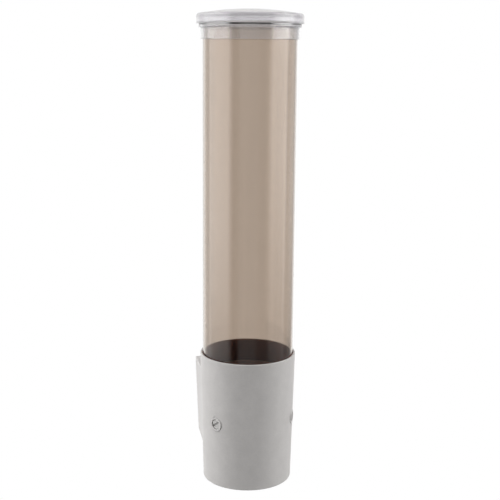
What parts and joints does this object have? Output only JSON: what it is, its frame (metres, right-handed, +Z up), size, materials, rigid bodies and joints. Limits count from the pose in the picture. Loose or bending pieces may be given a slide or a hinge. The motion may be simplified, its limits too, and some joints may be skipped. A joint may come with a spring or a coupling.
{
  "type": "cup dispenser",
  "caption": "Wall-mounted pull-type cup dispenser: a smoke tube with a clear lid stands in a tapered collar whose adjustable fingers hold the lowest cup.",
  "frame": {"origin": "middle of the wall bracket's back face, on the wall plane", "axes": "+Z up along the tube, +Y into the wall, the dispenser's front faces -Y"},
  "size_m": [0.0988, 0.1009, 0.4498],
  "materials": {
    "bracket_plastic": "satin moulded grey plastic",
    "light_grey_plastic": "satin light grey plastic with a faint granite-like mottle",
    "bush_plastic": "satin light grey plastic",
    "liner_plastic": "black satin plastic",
    "smoke_plastic": "polished transparent smoke-brown plastic",
    "clear_plastic": "clear plastic, slightly milky",
    "finger_plastic": "dark flexible plastic",
    "screw_plastic": "satin grey plastic",
    "pad_plastic": "natural low-friction plastic",
    "spring_steel": "bright drawn wire"
  },
  "bodies": {
    "wall_bracket": {"wall_bracket": "bracket_plastic"},
    "dispenser": {"throat_collar": "light_grey_plastic", "throat_liner": "liner_plastic", "cup_tube": "smoke_plastic", "adjuster_bush_left": "bush_plastic", "adjuster_bush_right": "bush_plastic", "adjuster_bush_rear": "bush_plastic", "finger_spring_left": "spring_steel", "finger_spring_right": "spring_steel", "finger_spring_rear": "spring_steel"},
    "dust_cap": {"dust_cap": "clear_plastic"},
    "adjuster_pad_left": {"adjuster_pad_left": "pad_plastic"},
    "adjuster_screw_left": {"adjuster_screw_left": "screw_plastic"},
    "grip_finger_left": {"grip_finger_left": "finger_plastic"},
    "adjuster_pad_right": {"adjuster_pad_right": "pad_plastic"},
    "adjuster_screw_right": {"adjuster_screw_right": "screw_plastic"},
    "grip_finger_right": {"grip_finger_right": "finger_plastic"},
    "adjuster_pad_rear": {"adjuster_pad_rear": "pad_plastic"},
    "adjuster_screw_rear": {"adjuster_screw_rear": "screw_plastic"},
    "grip_finger_rear": {"grip_finger_rear": "finger_plastic"}
  },
  "joints": [
    {"name": "dispenser_lift", "type": "slide", "parent": "wall_bracket", "child": "dispenser", "axis": [0, 0, 1], "range_m": [0, 0.08]},
    {"name": "cap_lift", "type": "slide", "parent": "dispenser", "child": "dust_cap", "axis": [0, 0, 1], "range_m": [0, 0.04]},
    {"name": "adjuster_travel_left", "type": "slide", "parent": "dispenser", "child": "adjuster_pad_left", "axis": [-0.866, -0.5, 0], "range_m": [-0.0018, 0.0018]},
    {"name": "adjuster_turn_left", "type": "hinge", "parent": "adjuster_pad_left", "child": "adjuster_screw_left", "pos_m": [-0.03494, -0.07168, 0], "axis": [-0.866, -0.5, 0], "range_deg": [-181, 181]},
    {"name": "finger_swing_left", "type": "hinge", "parent": "dispenser", "child": "grip_finger_left", "pos_m": [-0.03473, -0.07155, 0.0285], "axis": [-0.5, 0.866, 0], "range_deg": [-3.7, 3.7]},
    {"name": "adjuster_travel_right", "type": "slide", "parent": "dispenser", "child": "adjuster_pad_right", "axis": [0.866, -0.5, 0], "range_m": [-0.0018, 0.0018]},
    {"name": "adjuster_turn_right", "type": "hinge", "parent": "adjuster_pad_right", "child": "adjuster_screw_right", "pos_m": [0.03494, -0.07168, 0], "axis": [0.866, -0.5, 0], "range_deg": [-181, 181]},
    {"name": "finger_swing_right", "type": "hinge", "parent": "dispenser", "child": "grip_finger_right", "pos_m": [0.03473, -0.07155, 0.0285], "axis": [-0.5, -0.866, 0], "range_deg": [-3.7, 3.7]},
    {"name": "adjuster_travel_rear", "type": "slide", "parent": "dispenser", "child": "adjuster_pad_rear", "axis": [0, 1, 0], "range_m": [-0.0018, 0.0018]},
    {"name": "adjuster_turn_rear", "type": "hinge", "parent": "adjuster_pad_rear", "child": "adjuster_screw_rear", "pos_m": [0, -0.01115, 0], "axis": [0, 1, 0], "range_deg": [-181, 181]},
    {"name": "finger_swing_rear", "type": "hinge", "parent": "dispenser", "child": "grip_finger_rear", "pos_m": [0, -0.0114, 0.0285], "axis": [1, 0, 0], "range_deg": [-3.7, 3.7]}
  ],
  "couplings": [
    {"joint": "adjuster_turn_left", "follows": "adjuster_travel_left", "rad_per_m": 1745.3},
    {"joint": "finger_swing_left", "follows": "adjuster_travel_left", "rad_per_m": 35.088},
    {"joint": "adjuster_turn_right", "follows": "adjuster_travel_right", "rad_per_m": 1745.3},
    {"joint": "finger_swing_right", "follows": "adjuster_travel_right", "rad_per_m": 35.088},
    {"joint": "adjuster_turn_rear", "follows": "adjuster_travel_rear", "rad_per_m": 1745.3},
    {"joint": "finger_swing_rear", "follows": "adjuster_travel_rear", "rad_per_m": 35.088}
  ]
}
